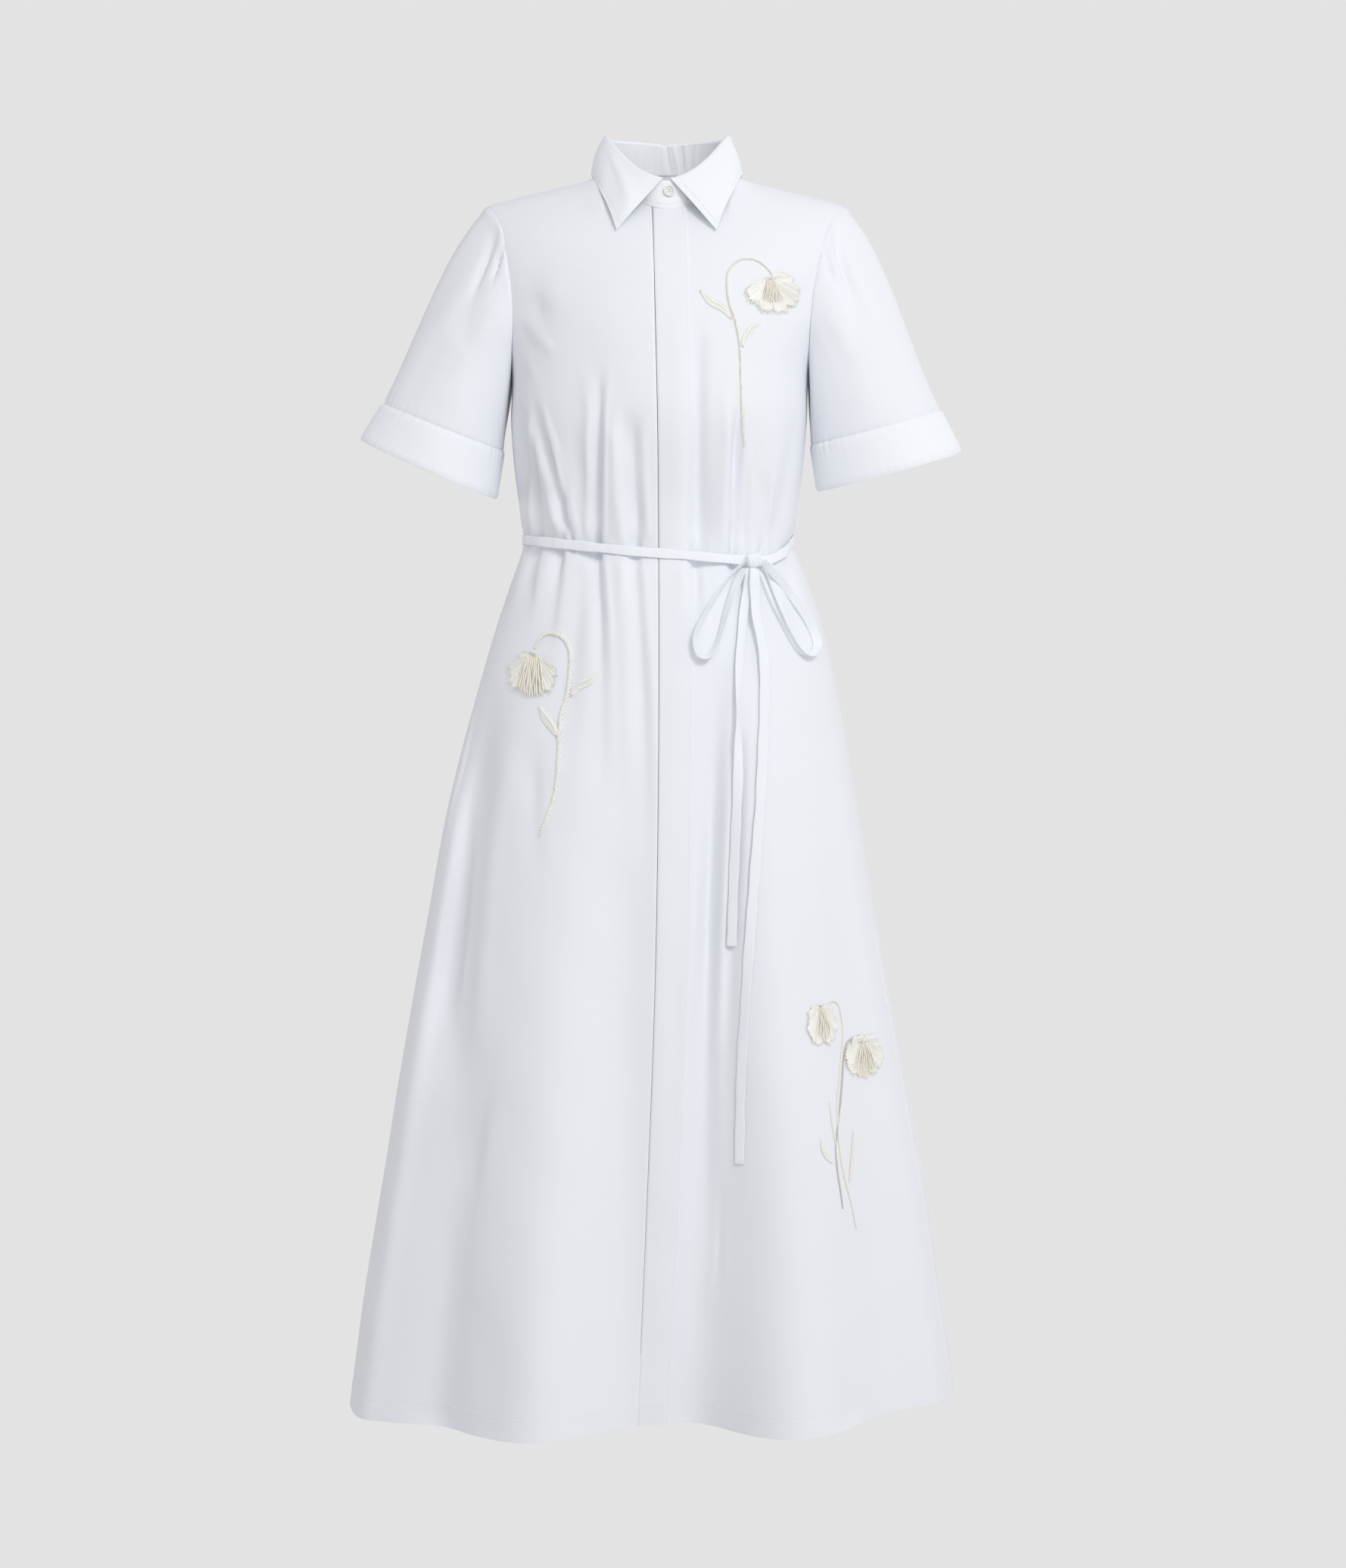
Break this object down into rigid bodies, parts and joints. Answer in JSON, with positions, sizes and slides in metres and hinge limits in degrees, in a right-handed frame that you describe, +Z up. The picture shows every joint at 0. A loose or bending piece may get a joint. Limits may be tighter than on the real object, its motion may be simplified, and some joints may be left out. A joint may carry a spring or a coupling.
{
  "type": "shirt dress",
  "caption": "Short-sleeved collared midi shirt dress with a concealed front placket, cuffed sleeves, a narrow tie belt and raised flower sprigs, filled out as if worn",
  "frame": {"origin": "midway between the shoulders, at the height where the shoulder seams rest on a wearer", "axes": "+Z up, the dress's front faces -Y, +X is the wearer's left"},
  "size_m": [0.6188, 0.4492, 1.2941],
  "materials": {
    "poplin": "crisp white cotton poplin, matte",
    "thread_cream": "twisted embroidery thread, soft sheen",
    "petal_cream": "frayed sheer applique petals",
    "button_white": "polished white shirt button"
  },
  "bodies": {
    "root": {"back": "poplin", "belt_band": "poplin", "belt_knot": "poplin", "belt_loop_inner": "poplin", "belt_loop_outer": "poplin", "belt_tail_long": "poplin", "belt_tail_short": "poplin", "chest_centre": "petal_cream", "chest_leaf_inner": "thread_cream", "chest_leaf_outer": "thread_cream", "chest_petals": "petal_cream", "chest_stem": "thread_cream", "collar_leaf": "poplin", "collar_stand": "poplin", "cuff_left": "poplin", "cuff_right": "poplin", "front_left": "poplin", "front_right": "poplin", "hip_centre": "petal_cream", "hip_leaf_inner": "thread_cream", "hip_leaf_outer": "thread_cream", "hip_petals": "petal_cream", "hip_stem": "thread_cream", "neck_button": "button_white", "placket": "poplin", "skirt_leaf_inner": "thread_cream", "skirt_leaf_outer": "thread_cream", "skirt_lower_centre": "petal_cream", "skirt_lower_petals": "petal_cream", "skirt_stem_foot": "thread_cream", "skirt_stem_lower": "thread_cream", "skirt_stem_upper": "thread_cream", "skirt_upper_centre": "petal_cream", "skirt_upper_petals": "petal_cream", "sleeve_left": "poplin", "sleeve_right": "poplin"}
  },
  "joints": []
}
